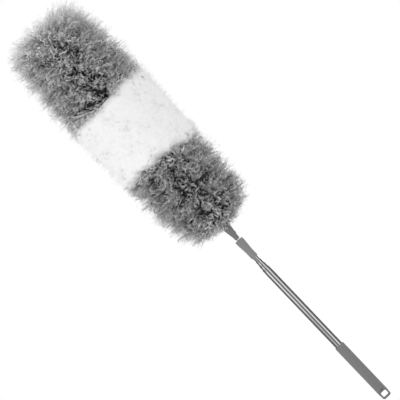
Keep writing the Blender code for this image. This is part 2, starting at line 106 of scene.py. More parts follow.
class Value:
    """A shader socket that takes part in Python expressions."""

    def __init__(self, surface: "Surface", socket: bpy.types.NodeSocket) -> None:
        """Wraps a socket of a surface's node tree."""
        self.surface = surface
        self.socket = socket

    def maths(self, operation: str, *numbers: "Value | float") -> "Value":
        """Adds a Math node of that operation, with the numbers as its inputs in order."""
        return self.surface.node("ShaderNodeMath", {"operation": operation}, dict(enumerate(numbers)))

    def __add__(self, other: "Value | float") -> "Value":
        """self + other."""
        return self.maths("ADD", self, other)

    def __sub__(self, other: "Value | float") -> "Value":
        """self - other."""
        return self.maths("SUBTRACT", self, other)

    def __rsub__(self, other: float) -> "Value":
        """other - self."""
        return self.maths("SUBTRACT", other, self)

    def __mul__(self, other: "Value | float") -> "Value":
        """self * other."""
        return self.maths("MULTIPLY", self, other)

    def __truediv__(self, other: "Value | float") -> "Value":
        """self / other."""
        return self.maths("DIVIDE", self, other)

    def __rtruediv__(self, other: float) -> "Value":
        """other / self."""
        return self.maths("DIVIDE", other, self)

    def __mod__(self, other: float) -> "Value":
        """self modulo other, never negative."""
        return self.maths("FLOORED_MODULO", self, other)

    def __rmod__(self, other: float) -> "Value":
        """other modulo self, never negative."""
        return self.maths("FLOORED_MODULO", other, self)

    def __abs__(self) -> "Value":
        """The size of self without its sign."""
        return self.maths("ABSOLUTE", self)

    __radd__ = __add__
    __rmul__ = __mul__


class Surface:
    """A look that is built node by node round one shader."""

    def __init__(self, owner: "bpy.types.Material | bpy.types.World", shader: str = "Principled BSDF") -> None:
        """Takes over the nodes of a material or world.

        Args:
            owner: the material or world.
            shader: the name of its shader's node.
        """
        owner.use_nodes = True
        self.owner = owner
        self.tree = owner.node_tree
        self.shader = self.tree.nodes[shader]

    def connect(self, socket: bpy.types.NodeSocket, given: "Value | float | tuple") -> None:
        """Links or sets one socket.

        Args:
            socket: the input socket.
            given: a wrapped socket to link, or a number, colour or vector to set.
        """
        if isinstance(given, Value):
            self.tree.links.new(given.socket, socket)
        elif socket.type == "RGBA":
            socket.default_value = (*given, 1.0)
        else:
            socket.default_value = given

    def node(self, kind: str, settings: dict | None = None, inputs: dict | None = None,
             output: int | str = 0) -> Value:
        """Adds any node.

        Args:
            kind: the node's type.
            settings: its properties, set first. A ramp's stops are (place, colour) pairs.
            inputs: its sockets' values or links, by name or number.
            output: the output that is wanted, by name or number.

        Returns:
            That output, wrapped.
        """
        made = self.tree.nodes.new(kind)
        for name, setting in (settings or {}).items():
            if name == "stops":
                ramp = made.color_ramp
                while len(ramp.elements) < len(setting):
                    ramp.elements.new(1.0)
                for element, (place, colour) in zip(ramp.elements, setting):
                    element.position = place
                    element.color = (*colour, 1.0)
            else:
                setattr(made, name, setting)
        for name, given in (inputs or {}).items():
            self.connect(made.inputs[name], given)
        return Value(self, made.outputs[output])

    def place(self) -> Value:
        """Object coordinates."""
        return self.node("ShaderNodeTexCoord", output="Object")

    def noise(self, where: Value, scale: float, detail: float = 2.0) -> Value:
        """Noise of about 0 to 1 at those coordinates, with that many features a unit and octaves."""
        return self.node("ShaderNodeTexNoise", {}, {"Vector": where, "Scale": scale, "Detail": detail}, "Fac")

    def ramp(self, where: Value, stops: list[tuple[float, Colour]]) -> Value:
        """The colour that goes through the (place, colour) stops as where goes from 0 to 1."""
        return self.node("ShaderNodeValToRGB", {"stops": stops}, {0: where})

    def split(self, where: Value) -> tuple[Value, ...]:
        """The x, y and z of a vector."""
        parts = self.node("ShaderNodeSeparateXYZ", {}, {0: where})
        return tuple(Value(self, output) for output in parts.socket.node.outputs)

    def times(self, colour: Value | Colour, shade: Value) -> Value:
        """The colour multiplied by the shade."""
        settings = {"data_type": "RGBA", "blend_type": "MULTIPLY"}
        return self.node("ShaderNodeMix", settings, {0: 1.0, 6: colour, 7: shade}, 2)

    def bump(self, height: Value, distance: float) -> None:
        """Gives the surface the pattern's relief, that many metres high."""
        relief = self.node("ShaderNodeBump", {}, {"Distance": distance, "Height": height})
        self.connect(self.shader.inputs["Normal"], relief)

    def direct(self) -> Value:
        """Tells the camera's own view, reflections in gloss and what is seen through glass from other light.

        Returns:
            1 for the first three and 0 for other light.
        """
        rays = self.node("ShaderNodeLightPath").socket.node.outputs
        seen, glossy, through = (Value(self, rays[f"Is {kind} Ray"]) for kind in ("Camera", "Glossy", "Transmission"))
        return seen.maths("MAXIMUM", seen.maths("MAXIMUM", seen, glossy), through)

    def finish(self, **sockets: "Value | float | tuple") -> None:
        """Sets or links the shader's sockets by name, with _ for a space."""
        for name, given in sockets.items():
            self.connect(self.shader.inputs[name.replace("_", " ")], given)


@dataclass(frozen=True)
class Finish(ABC):
    """What pieces are made of, by name and material slot."""

    name: str
    slot: Slot

    @abstractmethod
    def lay(self, surface: Surface) -> None:
        """Builds the finish's own nodes on the surface."""

    def material(self) -> bpy.types.Material:
        """The finished material.

        Returns:
            The material, made anew.
        """
        surface = Surface(bpy.data.materials.new(self.name))
        self.lay(surface)
        return surface.owner


@dataclass(frozen=True)
class FibreFinish(Finish):
    """Fluff whose fibres are darker at the root, which is painted shade deep in the fluff, and lighter at the tip,
    which is painted light, each a little different.
    """

    root: Colour
    shaft: Colour
    curl: Colour
    tip: Colour
    spread: float
    crimp_and_glint_depth: float
    crimp_and_glint_scale: float = 30.0
    shaft_share: float = 0.55
    curl_share: float = 0.75
    roughness: float = 0.8
    shine: float = 0.25
    sheen_roughness: float = 0.6
    translucence: float = 0.001

    def lay(self, surface: Surface) -> None:
        """Lays the fluff by the fibres' own map: across it the shade, up it the fibre's length.

        Args:
            surface: what it is laid on.
        """
        flat = surface.node("ShaderNodeUVMap", {"uv_map": UV_MAP})
        shade, along, _ = surface.split(flat)
        # The ramp paints shade at the fibre's root and light at its tip.
        colour = surface.ramp(along, [(0.0, self.root), (self.shaft_share, self.shaft),
                                      (self.curl_share, self.curl), (1.0, self.tip)])
        # The crimp noise is partly the fibre's own tone and partly painted glints and shade along its crimps.
        crimp = surface.noise(flat, self.crimp_and_glint_scale) - 0.5
        lightness = (shade - 1.0) * self.spread + crimp * self.crimp_and_glint_depth + 1.0
        surface.finish(Base_Color=surface.times(colour, lightness), Roughness=self.roughness,
                       Specular_IOR_Level=self.shine, Sheen_Weight=1.0,
                       Sheen_Roughness=self.sheen_roughness, Subsurface_Weight=1.0,
                       Subsurface_Radius=(1.0, 1.0, 1.0), Subsurface_Scale=self.translucence)


@dataclass(frozen=True)
class UnderlayFinish(Finish):
    """Dense short fluff below the fibres, mottled and rough. Where it is near black it is painted shade deep in the
    fluff.
    """

    low: Colour
    high: Colour
    relief: float
    scale: float = 260.0
    octaves: float = 4.0
    contrast: Span = (0.35, 0.65)
    roughness: float = 0.95
    shine: float = 0.1

    def lay(self, surface: Surface) -> None:
        """Lays the underlay.

        Args:
            surface: what it is laid on.
        """
        pattern = surface.noise(surface.place(), self.scale, self.octaves)
        surface.bump(pattern, self.relief)
        colour = surface.ramp(pattern, list(zip(self.contrast, (self.low, self.high))))
        surface.finish(Base_Color=colour, Roughness=self.roughness, Specular_IOR_Level=self.shine)


@dataclass(frozen=True)
class MouldedPlastic(Finish):
    """Satin moulded plastic with a fine grain."""

    colour: Colour
    roughness: float = 0.42
    shine: float = 0.07
    mottle_scale: float = 90.0
    mottle: float = 0.12
    grain_scale: float = 2600.0
    grain_depth: float = 0.00004
    grain_roughness: float = 0.1

    def lay(self, surface: Surface) -> None:
        """Lays the plastic.

        Args:
            surface: what it is laid on.
        """
        place = surface.place()
        mottle = (surface.noise(place, self.mottle_scale, 3.0) - 0.5) * self.mottle
        grain = surface.noise(place, self.grain_scale)
        surface.bump(grain, self.grain_depth)
        surface.finish(Base_Color=surface.times(self.colour, mottle + 1.0),
                       Roughness=mottle + (grain - 0.5) * self.grain_roughness + self.roughness,
                       Specular_IOR_Level=self.shine)


@dataclass(frozen=True)
class PaintedReflectionSteel(Finish):
    """Bright steel tube whose base colour is painted reflection: streaks of light and dark that run along it, set by
    the angle round the tube.

    The painted reflections are tones and their places, from 0 to 1 over half a stripe and back over the other half.
    """

    # edge tints the steel's reflection at grazing angles; its dark grey is painted shade along the tubes' edges.
    edge: Colour = grey(0.08)
    reflection_repeats: int = 2
    painted_reflections: tuple[tuple[float, ReflectionTone], ...] = (
        (0.0, ReflectionTone.DARK), (0.07, ReflectionTone.DARK), (0.18, ReflectionTone.BRIGHT), (0.23, ReflectionTone.BRIGHT), (0.35, ReflectionTone.MIDDLE),
        (0.55, ReflectionTone.DARK), (0.8, ReflectionTone.DARK), (0.86, ReflectionTone.BRIGHT), (0.9, ReflectionTone.BRIGHT), (0.96, ReflectionTone.MIDDLE),
        (1.0, ReflectionTone.MIDDLE))
    roughness: float = 0.2
    scratch_scale: float = 700.0
    scratch_stretch: float = 0.02
    scratch_tone: float = 0.25
    scratch_roughness: float = 0.1
    scratch_depth: float = 0.00001

    def lay(self, surface: Surface) -> None:
        """Lays the steel.

        Args:
            surface: what it is laid on.
        """
        place = surface.place()
        across, deep, _ = surface.split(place)
        # Painted reflection: the base colour turns light and dark with the angle round the tube, as lamps and dark
        # surroundings would show in polished steel.
        turn = across.maths("ARCTAN2", deep, across) / (2 * math.pi) * self.reflection_repeats
        reflection_place = abs(turn % 1.0 - 0.5) * 2.0
        colour = surface.ramp(reflection_place, [(along, tone.value) for along, tone in self.painted_reflections])
        stretched = surface.node("ShaderNodeMapping", {}, {"Vector": place, "Scale": (1.0, 1.0, self.scratch_stretch)})
        scratches = surface.noise(stretched, self.scratch_scale, 3.0) - 0.5
        surface.bump(scratches, self.scratch_depth)
        surface.finish(Base_Color=surface.times(colour, scratches * self.scratch_tone + 1.0), Metallic=1.0,
                       Roughness=scratches * self.scratch_roughness + self.roughness,
                       Specular_Tint=self.edge)


@dataclass(frozen=True)
class PlainMetal(Finish):
    """Satin metal for washers, inserts and wires."""

    colour: Colour
    roughness: float = 0.3
    mottle_scale: float = 900.0
    mottle_tone: float = 0.2
    mottle_roughness: float = 0.15
    mottle_depth: float = 0.00001

    def lay(self, surface: Surface) -> None:
        """Lays the metal.

        Args:
            surface: what it is laid on.
        """
        mottle = surface.noise(surface.place(), self.mottle_scale, 3.0) - 0.5
        surface.bump(mottle, self.mottle_depth)
        surface.finish(Base_Color=surface.times(self.colour, mottle * self.mottle_tone + 1.0), Metallic=1.0,
                       Roughness=mottle * self.mottle_roughness + self.roughness)


GREY_PLASTIC = MouldedPlastic("grey_moulded_plastic", Slot.GREY_PLASTIC, (0.205, 0.205, 0.208))
BLACK_PLASTIC = MouldedPlastic("black_moulded_plastic", Slot.BLACK_PLASTIC, (0.03, 0.03, 0.032), roughness=0.5)
COLLAR_PLASTIC = MouldedPlastic("grey_collar_plastic", Slot.GREY_PLASTIC, (0.25, 0.25, 0.253))
# The tubes' steel carries painted reflections in its colour.
TUBE_STEEL = PaintedReflectionSteel("tube_steel_painted_reflections", Slot.TUBE_STEEL)
WASHER_STEEL = PlainMetal("washer_steel", Slot.TUBE_STEEL, grey(0.78), roughness=0.25)
WIRE_STEEL = PlainMetal("wire_steel", Slot.WIRE_STEEL, grey(0.5), roughness=0.35)
BRASS = PlainMetal("turned_brass", Slot.BRASS, (0.72, 0.52, 0.22))
# The grey fibre's near-black root is painted shade and its almost white tip painted light.
GREY_FIBRE = FibreFinish("grey_fibre", Slot.GREY_FIBRE, grey(0.015), (0.07, 0.07, 0.071), grey(0.54), grey(0.98),
                         spread=0.75, crimp_and_glint_depth=0.6, crimp_and_glint_scale=14.0, shaft_share=0.4, curl_share=0.56)
WHITE_FIBRE = FibreFinish("white_fibre", Slot.WHITE_FIBRE, grey(0.93), grey(0.94), grey(0.95), grey(0.95),
                          spread=0.05, crimp_and_glint_depth=0.05)
# The grey underlay is near black: painted shade deep in the fluff.
GREY_UNDERLAY = UnderlayFinish("painted_shade_underlay", Slot.GREY_FIBRE, grey(0.02), grey(0.06), relief=0.0015)
WHITE_UNDERLAY = UnderlayFinish("white_underlay", Slot.WHITE_FIBRE, grey(0.865), grey(0.905), relief=0.0006)


@dataclass(frozen=True)
class Bend:
    """One of the two places where the head bends, between two bodies and from one z to another."""

    below: str
    above: str
    start: float
    end: float


LOWER_BEND = Bend("head_base", "head_middle", start=0.387, end=0.497)
UPPER_BEND = Bend("head_middle", "head_tip", start=0.501, end=0.611)


class Dresser:
    """Gives pieces their materials and bodies, and reports each one."""

    def __init__(self) -> None:
        """Starts with no material made."""
        self.made: dict[str, bpy.types.Material] = {}
        self.count = 0

    def paint(self, piece: Piece, finish: Finish) -> None:
        """Gives a piece one finish all over.

        Args:
            piece: a new piece or a CAD node.
            finish: what it is made of.
        """
        if finish.name not in self.made:
            self.made[finish.name] = finish.material()
        piece.data.materials.clear()
        piece.data.materials.append(self.made[finish.name])

    def fit(self, piece: Piece, finish: Finish, held: str | Bend, *nodes: str) -> None:
        """Dresses a new piece.

        Args:
            piece: the piece, at rest in its place.
            finish: what it is made of.
            held: the body that it rides on, or a bend, for which its place is only applied to its mesh.
            nodes: the CAD nodes that it stands for.
        """
        self.paint(piece, finish)
        if isinstance(held, Bend):
            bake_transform(piece)
        else:
            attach(piece, held)
        if nodes:
            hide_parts(*nodes)
        self.report(piece, str(held))

    def dress_node(self, node: str, finish: Finish) -> None:
        """Gives a CAD node that stays its material."""
        self.paint(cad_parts[node], finish)
        self.report(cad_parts[node], "its own body")

    def report(self, piece: Piece, held: str) -> None:
        """Counts one piece and logs what it rides on."""
        self.count += 1
        LOG.info("%s: %d faces, on %s", piece.name, len(piece.data.polygons), held)


class Workpiece:
    """A mesh on the bench. It starts as a primitive and is shaped ring by ring in edit mode."""

    def __init__(self, name: str, steps: int) -> None:
        """Names the piece and sets how many sides its rings have."""
        self.name = name
        self.steps = steps

    def start(self, radius: float, height: float, solid: bool) -> None:
        """Adds the first ring and goes into edit mode.

        Args:
            radius: its radius.
            height: its z.
            solid: whether it is a filled disc, for a piece that is closed at this end.
        """
        bpy.ops.object.select_all(action="DESELECT")
        bpy.ops.mesh.primitive_circle_add(vertices=self.steps, radius=radius, location=(0, 0, height),
                                          fill_type="NGON" if solid else "NOTHING")
        self.object = bpy.context.object
        self.object.name = self.object.data.name = self.name
        bpy.ops.object.mode_set(mode="EDIT")
        bpy.ops.mesh.select_all(action="SELECT")
        self.radius, self.height = radius, height

    def extrude(self, radius: float, height: float) -> None:
        """Draws the selected ring out to a new radius and height.

        Args:
            radius: the new ring's radius.
            height: the new ring's z.
        """
        bpy.ops.mesh.extrude_region_move(TRANSFORM_OT_translate={"value": (0, 0, height - self.height)})
        share = radius / self.radius
        bpy.ops.transform.resize(value=(share, share, 1), center_override=(0, 0, height))
        self.radius, self.height = radius, height

    def close(self) -> None:
        """Turns all faces outwards and goes back to object mode."""
        bpy.ops.mesh.select_all(action="SELECT")
        bpy.ops.mesh.normals_make_consistent(inside=False)
        bpy.ops.object.mode_set(mode="OBJECT")

    def turn(self, profile: Profile, solid: bool) -> Piece:
        """Shapes a turned piece.

        Args:
            profile: (radius, z) points, once round the piece's section.
            solid: whether both ends are closed with a disc. If not, the last ring is bridged to the first.

        Returns:
            The closed mesh, back in object mode, at the origin.
        """
        self.start(*profile[0], solid)
        for radius, height in profile[1:]:
            self.extrude(radius, height)
        if solid:
            bpy.ops.mesh.edge_face_add()
        else:
            bpy.ops.object.mode_set(mode="OBJECT")
            mesh = self.object.data
            ends = {*range(self.steps), *range(len(mesh.vertices) - self.steps, len(mesh.vertices))}
            for edge in mesh.edges:
                edge.select = ends.issuperset(edge.vertices)
            for vertex in mesh.vertices:
                vertex.select = vertex.index in ends
            bpy.ops.object.mode_set(mode="EDIT")
            bpy.ops.mesh.select_mode(type="EDGE")
            bpy.ops.mesh.bridge_edge_loops()
            bpy.ops.mesh.select_mode(type="VERT")
        self.close()
        bpy.ops.object.transform_apply(location=True, rotation=True, scale=True)
        return self.object


def arc(centre: Span, radius: float, start: float, end: float, steps: int = 4) -> Profile:
    """Points of an arc in a profile, with both its ends.

    Args:
        centre: the arc's (radius, z) centre.
        radius: its radius.
        start: its first angle in degrees.
        end: its last angle in degrees.
        steps: how many steps it takes.

    Returns:
        The (radius, z) points.
    """
    angles = [math.radians(start + (end - start) * n / steps) for n in range(steps + 1)]
    return [(centre[0] + radius * math.cos(a), centre[1] + radius * math.sin(a)) for a in angles]


def add_block(size: Place, place: Place, lean: float = 0.0) -> Piece:
    """Adds a plain block, to cut with or to shape further.

    Args:
        size: its width, depth and height.
        place: its middle.
        lean: how far it is turned about the Y axis.

    Returns:
        The block.
    """
    bpy.ops.object.select_all(action="DESELECT")
    bpy.ops.mesh.primitive_cube_add(size=1, scale=size)
    block = bpy.context.object
    block.location, block.rotation_euler = place, (0, lean, 0)
    bpy.ops.object.transform_apply(location=True, rotation=True, scale=True)
    return block


def select_only(piece: Piece) -> None:
    """Makes the piece the active one and the only one selected.

    Args:
        piece: the piece.
    """
    bpy.ops.object.select_all(action="DESELECT")
    piece.select_set(True)
    bpy.context.view_layer.objects.active = piece


def apply_modifier(piece: Piece, kind: str, **settings: object) -> None:
    """Adds a modifier to the piece and applies it.

    Args:
        piece: the piece.
        kind: the modifier's type.
        settings: its properties.
    """
    select_only(piece)
    modifier = piece.modifiers.new(kind.title(), kind)
    for name, setting in settings.items():
        setattr(modifier, name, setting)
    bpy.ops.object.modifier_apply(modifier=modifier.name)


def combine(piece: Piece, other: Piece, join: Join) -> None:
    """Cuts the other piece out of this one or fuses it to this one, which uses it up."""
    apply_modifier(piece, "BOOLEAN", operation=join.value, object=other)
    bpy.data.objects.remove(other, do_unlink=True)


def smooth(piece: Piece, degrees: float) -> Piece:
    """Shades a piece smooth but for its sharp edges.

    Args:
        piece: the piece.
        degrees: the angle above which an edge stays sharp.

    Returns:
        The piece.
    """
    select_only(piece)
    bpy.ops.object.shade_smooth_by_angle(angle=math.radians(degrees))
    return piece


def unit(vectors: Array) -> Array:
    """The vectors, which are along the last axis, at a length of 1."""
    return vectors / np.linalg.norm(vectors, axis=-1, keepdims=True)


def scatter(chance: np.random.Generator, count: int, low: float, high: float) -> Array:
    """Random numbers round 0 with a deviation of 1, kept between two limits."""
    return np.clip(chance.normal(0, 1, count), low, high)


@dataclass
class HandGrip:
    """The moulded grip with the hanging window through its end."""

    radius: float = 0.008
    end_radius: float = 0.0074
    end_corner: float = 0.0026
    bar: float = 0.003
    window_width: float = 0.0094
    window_length: float = 0.008
    window_corner: float = 0.0014
    loop_thickness: float = 0.0076
    ramp: float = 0.006
    mouth_edge: float = 0.0007
    bore_radius: float = 0.0065
    edge: float = 0.0005
    sharp: float = 40.0
    steps: int = 96

    def build(self) -> Piece:
        """Turns the grip, flattens its end and cuts the window.

        Returns:
            The grip.
        """
        low, high = (corner.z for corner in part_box("hand_grip"))
        window_low = low + self.bar
        window_high = window_low + self.window_length
        profile = [
            *arc((self.end_radius - self.end_corner, low + self.end_corner), self.end_corner, -90, 0, 6),
            (self.radius, window_high + self.edge), (self.radius, high - self.mouth_edge),
            *arc((self.radius - self.mouth_edge, high - self.mouth_edge), self.mouth_edge, 0, 90),
            (self.bore_radius, high), (self.bore_radius, window_high + self.bar),
        ]
        grip = Workpiece("hand_grip_moulding", self.steps).turn(profile, True)
        for side in (-1, 1):
            combine(grip, self.flat_cutter(side, low, window_high), Join.CUT)
        combine(grip, self.window_cutter(window_low, window_high), Join.CUT)
        apply_modifier(grip, "BEVEL", width=self.edge, segments=3, limit_method="ANGLE",
                       angle_limit=math.radians(self.sharp), use_clamp_overlap=True)
        return smooth(grip, self.sharp)

    def flat_cutter(self, side: int, low: float, window_high: float) -> Piece:
        """A block that flattens one side of the loop, with a ramp up to the round bar.

        Args:
            side: -1 for the front and 1 for the back.
            low: the z of the grip's end.
            window_high: the z of the window's upper edge.

        Returns:
            The block.
        """
        depth, height = self.radius, window_high - low + self.radius
        block = add_block((self.radius * 3, depth, height),
                          (0, side * (self.loop_thickness / 2 + depth / 2), window_high - height / 2))
        for vertex in block.data.vertices:
            if vertex.co.z > window_high - self.edge and abs(vertex.co.y) > self.radius:
                vertex.co.z += self.ramp * depth / (self.radius - self.loop_thickness / 2)
        return block

    def window_cutter(self, low: float, high: float) -> Piece:
        """A block with rounded edges that cuts the window.

        Args:
            low: the window's lower z.
            high: the window's upper z.

        Returns:
            The block.
        """
        block = add_block((self.window_width, self.radius * 4, high - low), (0, 0, (low + high) / 2))
        bpy.ops.object.mode_set(mode="EDIT")
        bpy.ops.mesh.select_mode(type="EDGE")
        bpy.ops.mesh.select_all(action="DESELECT")
        bpy.ops.object.mode_set(mode="OBJECT")
        for edge in block.data.edges:
            first, second = (block.data.vertices[n].co for n in edge.vertices)
            edge.select = abs(first.y - second.y) > self.radius
        bpy.ops.object.mode_set(mode="EDIT")
        bpy.ops.mesh.bevel(offset=self.window_corner, segments=5)
        bpy.ops.mesh.select_mode(type="VERT")
        bpy.ops.object.mode_set(mode="OBJECT")
        return block

    def dress(self, dresser: Dresser) -> None:
        """Builds the grip and dresses it and the plug inside."""
        dresser.fit(self.build(), GREY_PLASTIC, "handle", "hand_grip")
        dresser.dress_node("tube_end_plug", BLACK_PLASTIC)


@dataclass
class Pole:
    """The four nested steel tubes, each of which but the last is rolled in at its mouth."""

    wall: float = 0.0004
    running_gap: float = 0.00012
    lip: float = 0.0012
    taper: float = 0.0078
    mouth_edge: float = 0.00015
    sharp: float = 30.0
    steps: int = 96
    tubes: tuple[str, ...] = ("outer_tube", "tube_2", "tube_3", "tube_4")
    bodies: tuple[str, ...] = ("handle", "section_2", "section_3", "head_base")

    def build(self, index: int) -> Piece:
        """Turns one tube.

        Args:
            index: 0 for the outer tube, and so on inwards.

        Returns:
            The tube.
        """
        low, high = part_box(self.tubes[index])
        radius, bore = high.x, high.x - self.wall
        edge = self.mouth_edge
        if index == len(self.tubes) - 1:
            profile = [(bore, low.z), (radius, low.z), (radius, high.z), (bore, high.z)]
        else:
            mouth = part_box(self.tubes[index + 1])[1].x + self.running_gap
            profile = [
                (bore, low.z), (radius, low.z),
                (radius, high.z - self.taper - edge), (radius - edge, high.z - self.taper + edge),
                (mouth + self.wall, high.z - edge), (mouth + self.wall - edge, high.z),
                (mouth, high.z), (mouth, high.z - self.lip), (bore, high.z - self.taper),
            ]
        return smooth(Workpiece(f"{self.tubes[index]}_drawn", self.steps).turn(profile, False), self.sharp)

    def dress(self, dresser: Dresser) -> None:
        """Builds and dresses the tubes, and dresses the bushes and springs inside.

        Args:
            dresser: what dresses the pieces.
        """
        for index, (tube, body) in enumerate(zip(self.tubes, self.bodies)):
            dresser.fit(self.build(index), TUBE_STEEL, body, tube)
        for section in (2, 3, 4):
            dresser.dress_node(f"bush_{section}", BLACK_PLASTIC)
            dresser.dress_node(f"friction_spring_{section}", WIRE_STEEL)


@dataclass
class Coupling:
    """The collar on the pole, the washer on it, and the inserts and stud inside."""

    radius: float = 0.0056
    top_radius: float = 0.0069
    straight: float = 0.0135
    rim: float = 0.0068
    edge: float = 0.0005
    bore_radius: float = 0.0042
    hole_radius: float = 0.0023
    roof: float = 0.007
    washer_edge: float = 0.0003
    sharp: float = 50.0
    steps: int = 80

    def build_collar(self) -> Piece:
        """Turns the collar, flared to its flat top.

        Returns:
            The collar.
        """
        low, high = (corner.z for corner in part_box("collar"))
        edge = self.edge
        profile = [
            (self.bore_radius, low),
            *arc((self.radius - edge, low + edge), edge, -90, 0),
            (self.radius, low + self.straight - edge), (self.radius + edge / 6, low + self.straight + edge),
            (self.top_radius - edge / 4, high - self.rim - edge), (self.top_radius, high - self.rim + edge),
            *arc((self.top_radius - edge, high - edge), edge, 0, 90),
            (self.hole_radius, high), (self.hole_radius, high - self.roof), (self.bore_radius, high - self.roof),
        ]
        return smooth(Workpiece("collar_moulding", self.steps).turn(profile, False), self.sharp)

    def build_washer(self) -> Piece:
        """Turns the washer with rounded edges.

        Returns:
            The washer.
        """
        low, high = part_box("washer")
        edge = self.washer_edge
        profile = [
            (self.hole_radius, low.z),
            *arc((high.x - edge, low.z + edge), edge, -90, 0),
            *arc((high.x - edge, high.z - edge), edge, 0, 90),
            (self.hole_radius, high.z),
        ]
        return smooth(Workpiece("bright_washer", self.steps).turn(profile, False), self.sharp)

    def dress(self, dresser: Dresser) -> None:
        """Builds the collar and washer and dresses them and the metal inside.

        Args:
            dresser: what dresses the pieces.
        """
        dresser.fit(self.build_collar(), COLLAR_PLASTIC, "head_base", "collar")
        dresser.fit(self.build_washer(), WASHER_STEEL, "head_base", "washer")
        for node, finish in (("tube_insert", BRASS), ("neck_insert", BRASS), ("stud", WIRE_STEEL)):
            dresser.dress_node(node, finish)


@dataclass
class Neck:
    """The moulded stem of the head, which widens from the washer into the fluff."""

    foot_radius: float = 0.0038
    waist_radius: float = 0.0042
    top_radius: float = 0.0064
    waist_share: float = 0.24
    shoulder_share: float = 0.62
    edge: float = 0.0006
    socket_radius: float = 0.0029
    rib_width: float = 0.003
    rib_length: float = 0.005
    rib_height: float = 0.0006
    sharp: float = 40.0
    steps: int = 80

    def build(self) -> Piece:
        """Turns the stem and joins its small rib to it.

        Returns:
            The neck.
        """
        low, high = (corner.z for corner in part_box("neck"))
        length = high - low
        waist, shoulder = low + self.waist_share * length, low + self.shoulder_share * length
        edge = self.edge
        profile = [
            (self.foot_radius - edge / 2, low), (self.foot_radius, low + edge / 2),
            (self.waist_radius, waist), (self.waist_radius + edge / 2, waist + 2 * edge),
            (self.top_radius - edge / 2, shoulder - 2 * edge), (self.top_radius, shoulder + edge),
            *arc((self.top_radius - edge, high - edge), edge, 0, 90),
            (self.socket_radius, high), (self.socket_radius, high - self.top_radius),
        ]
        neck = Workpiece("neck_moulding", self.steps).turn(profile, True)
        lean = math.atan2(self.top_radius - self.waist_radius, shoulder - waist)
        middle = self.waist_radius + self.rib_length / 2 * math.tan(lean)
        rib = add_block((self.rib_height * 4, self.rib_width, self.rib_length),
                        (middle - self.rib_height, 0, waist + self.rib_length / 2), lean)
        apply_modifier(rib, "BEVEL", width=self.rib_height / 2, segments=3)
        combine(neck, rib, Join.FUSE)
        return smooth(neck, self.sharp)

    def dress(self, dresser: Dresser) -> None:
        """Builds and dresses the neck."""
        dresser.fit(self.build(), GREY_PLASTIC, "head_base", "neck")


@dataclass
class WireCore:
    """The twisted wires that hold the fibres, and the cap over their ends."""

    lengths: tuple[str, ...] = ("base", "middle", "tip")

    def dress(self, dresser: Dresser) -> None:
        """Dresses the wires and the cap.

        Args:
            dresser: what dresses the pieces.
        """
        for length in self.lengths:
            for wire in ("a", "b"):
                dresser.dress_node(f"core_wire_{length}_{wire}", WIRE_STEEL)
        dresser.dress_node("tip_cap", BLACK_PLASTIC)


@dataclass
class Fibre:
    """One fibre, modelled upright in unit sizes. The head copies, curls and places it."""

    sides: int = 3
    rings: tuple[float, ...] = (0.0, 0.4, 0.6, 0.7, 0.8, 0.9)
    widths: tuple[float, ...] = (0.6, 0.9, 1.0, 1.0, 0.95, 0.75)

    def build(self) -> Piece:
        """Draws a small disc up ring by ring and gathers its last ring into a point.

        Returns:
            The fibre, one unit high, with its map: round it u, about a middle of 0, and up it v.
        """
        work = Workpiece("fibre_pattern", self.sides)
        work.start(self.widths[0], self.rings[0], True)
        for height, width in zip(self.rings[1:], self.widths[1:]):
            work.extrude(width, height)
        work.extrude(self.widths[-1], 1.0)
        bpy.ops.mesh.merge(type="CENTER")
        work.close()
        mesh = work.object.data
        flat = mesh.uv_layers.new(name=UV_MAP)
        for face in mesh.polygons:
            facing = math.atan2(face.center.y, face.center.x)
            for loop in face.loop_indices:
                corner = mesh.vertices[mesh.loops[loop].vertex_index].co
                turn = math.atan2(corner.y, corner.x) - facing if corner.xy.length > 0.01 else 0.0
                turn = (turn + math.pi) % (2 * math.pi) - math.pi
                flat.data[loop].uv = ((facing + turn) / (2 * math.pi), corner.z)
        return work.object


